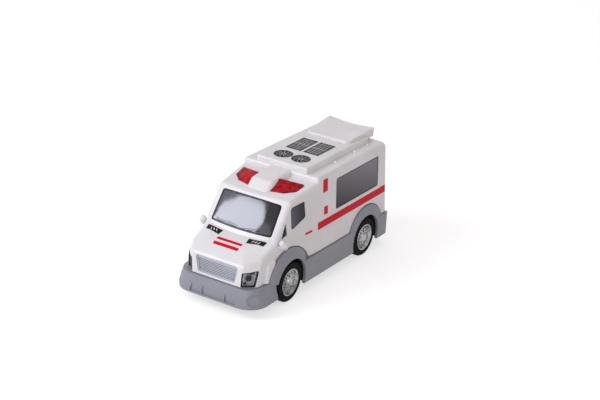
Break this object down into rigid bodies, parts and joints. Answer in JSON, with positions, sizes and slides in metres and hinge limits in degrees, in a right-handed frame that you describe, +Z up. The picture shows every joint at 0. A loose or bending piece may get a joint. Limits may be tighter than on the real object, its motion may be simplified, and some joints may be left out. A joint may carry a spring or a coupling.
{
  "type": "toy ambulance",
  "caption": "Plastic toy van ambulance with a white body, grey lower body, smoked windows, red beacons, chromed wheels and a friction drive on the rear axle.",
  "frame": {"origin": "on the ground, under the middle of the toy's length and width", "axes": "+X to the front of the toy, +Y to its left, +Z up"},
  "size_m": [0.209, 0.0868, 0.1048],
  "materials": {
    "white_body": "glossy moulded white plastic",
    "grey_body": "satin moulded grey plastic",
    "black_chassis": "matt moulded black plastic",
    "smoked_window": "smoked clear plastic",
    "clear_lens": "clear plastic",
    "red_lens": "clear red plastic",
    "silver_plastic": "silver-painted plastic",
    "plated_plastic": "chrome-plated plastic",
    "tyre": "soft black plastic",
    "steel": "drawn steel",
    "gear_plastic": "natural moulded plastic",
    "red_vinyl": "printed vinyl",
    "dark_vinyl": "printed vinyl"
  },
  "bodies": {
    "body": {"upper_body": "white_body", "lower_body": "grey_body", "chassis": "black_chassis", "roof_pod": "white_body", "windscreen": "smoked_window", "door_window_left": "smoked_window", "door_window_right": "smoked_window", "quarter_window_left": "smoked_window", "quarter_window_right": "smoked_window", "side_window_left": "smoked_window", "side_window_right": "smoked_window", "back_window_left": "smoked_window", "back_window_right": "smoked_window", "beacon_lens_left": "red_lens", "beacon_lens_right": "red_lens", "grille": "silver_plastic", "headlamp_lens_left": "clear_lens", "headlamp_lens_right": "clear_lens", "headlamp_reflector_left": "plated_plastic", "headlamp_reflector_right": "plated_plastic", "mirror_left": "white_body", "mirror_right": "white_body", "tail_lamp_left": "red_lens", "tail_lamp_right": "red_lens", "door_handles": "red_vinyl", "side_stickers_left": "red_vinyl", "side_stickers_right": "red_vinyl", "roof_stickers": "dark_vinyl", "hood_vents": "dark_vinyl", "hood_bars": "red_vinyl", "idler_pin": "steel", "gearbox_left": "black_chassis", "gearbox_right": "black_chassis", "gearbox_screws": "steel", "body_screws": "steel"},
    "front_wheels": {"front_axle": "steel", "front_left_tyre": "tyre", "front_right_tyre": "tyre", "front_left_rim": "plated_plastic", "front_right_rim": "plated_plastic"},
    "rear_wheels": {"rear_axle": "steel", "rear_left_tyre": "tyre", "rear_right_tyre": "tyre", "rear_left_rim": "plated_plastic", "rear_right_rim": "plated_plastic", "axle_gear": "gear_plastic"},
    "idler": {"idler_gear": "gear_plastic"},
    "flywheel_set": {"flywheel": "steel", "flywheel_shaft": "steel"}
  },
  "joints": [
    {"name": "front_axle_spin", "type": "hinge", "parent": "body", "child": "front_wheels", "pos_m": [0.0513, 0, 0.0172], "axis": [0, 1, 0], "continuous": true},
    {"name": "rear_axle_spin", "type": "hinge", "parent": "body", "child": "rear_wheels", "pos_m": [-0.0645, 0, 0.0172], "axis": [0, 1, 0], "continuous": true},
    {"name": "idler_spin", "type": "hinge", "parent": "body", "child": "idler", "pos_m": [-0.05565, 0, 0.02339], "axis": [0, 1, 0], "continuous": true},
    {"name": "flywheel_spin", "type": "hinge", "parent": "body", "child": "flywheel_set", "pos_m": [-0.0455, 0, 0.02709], "axis": [0, 1, 0], "continuous": true}
  ],
  "couplings": [
    {"joint": "idler_spin", "follows": "rear_axle_spin", "ratio": -2},
    {"joint": "flywheel_spin", "follows": "rear_axle_spin", "ratio": 4}
  ]
}
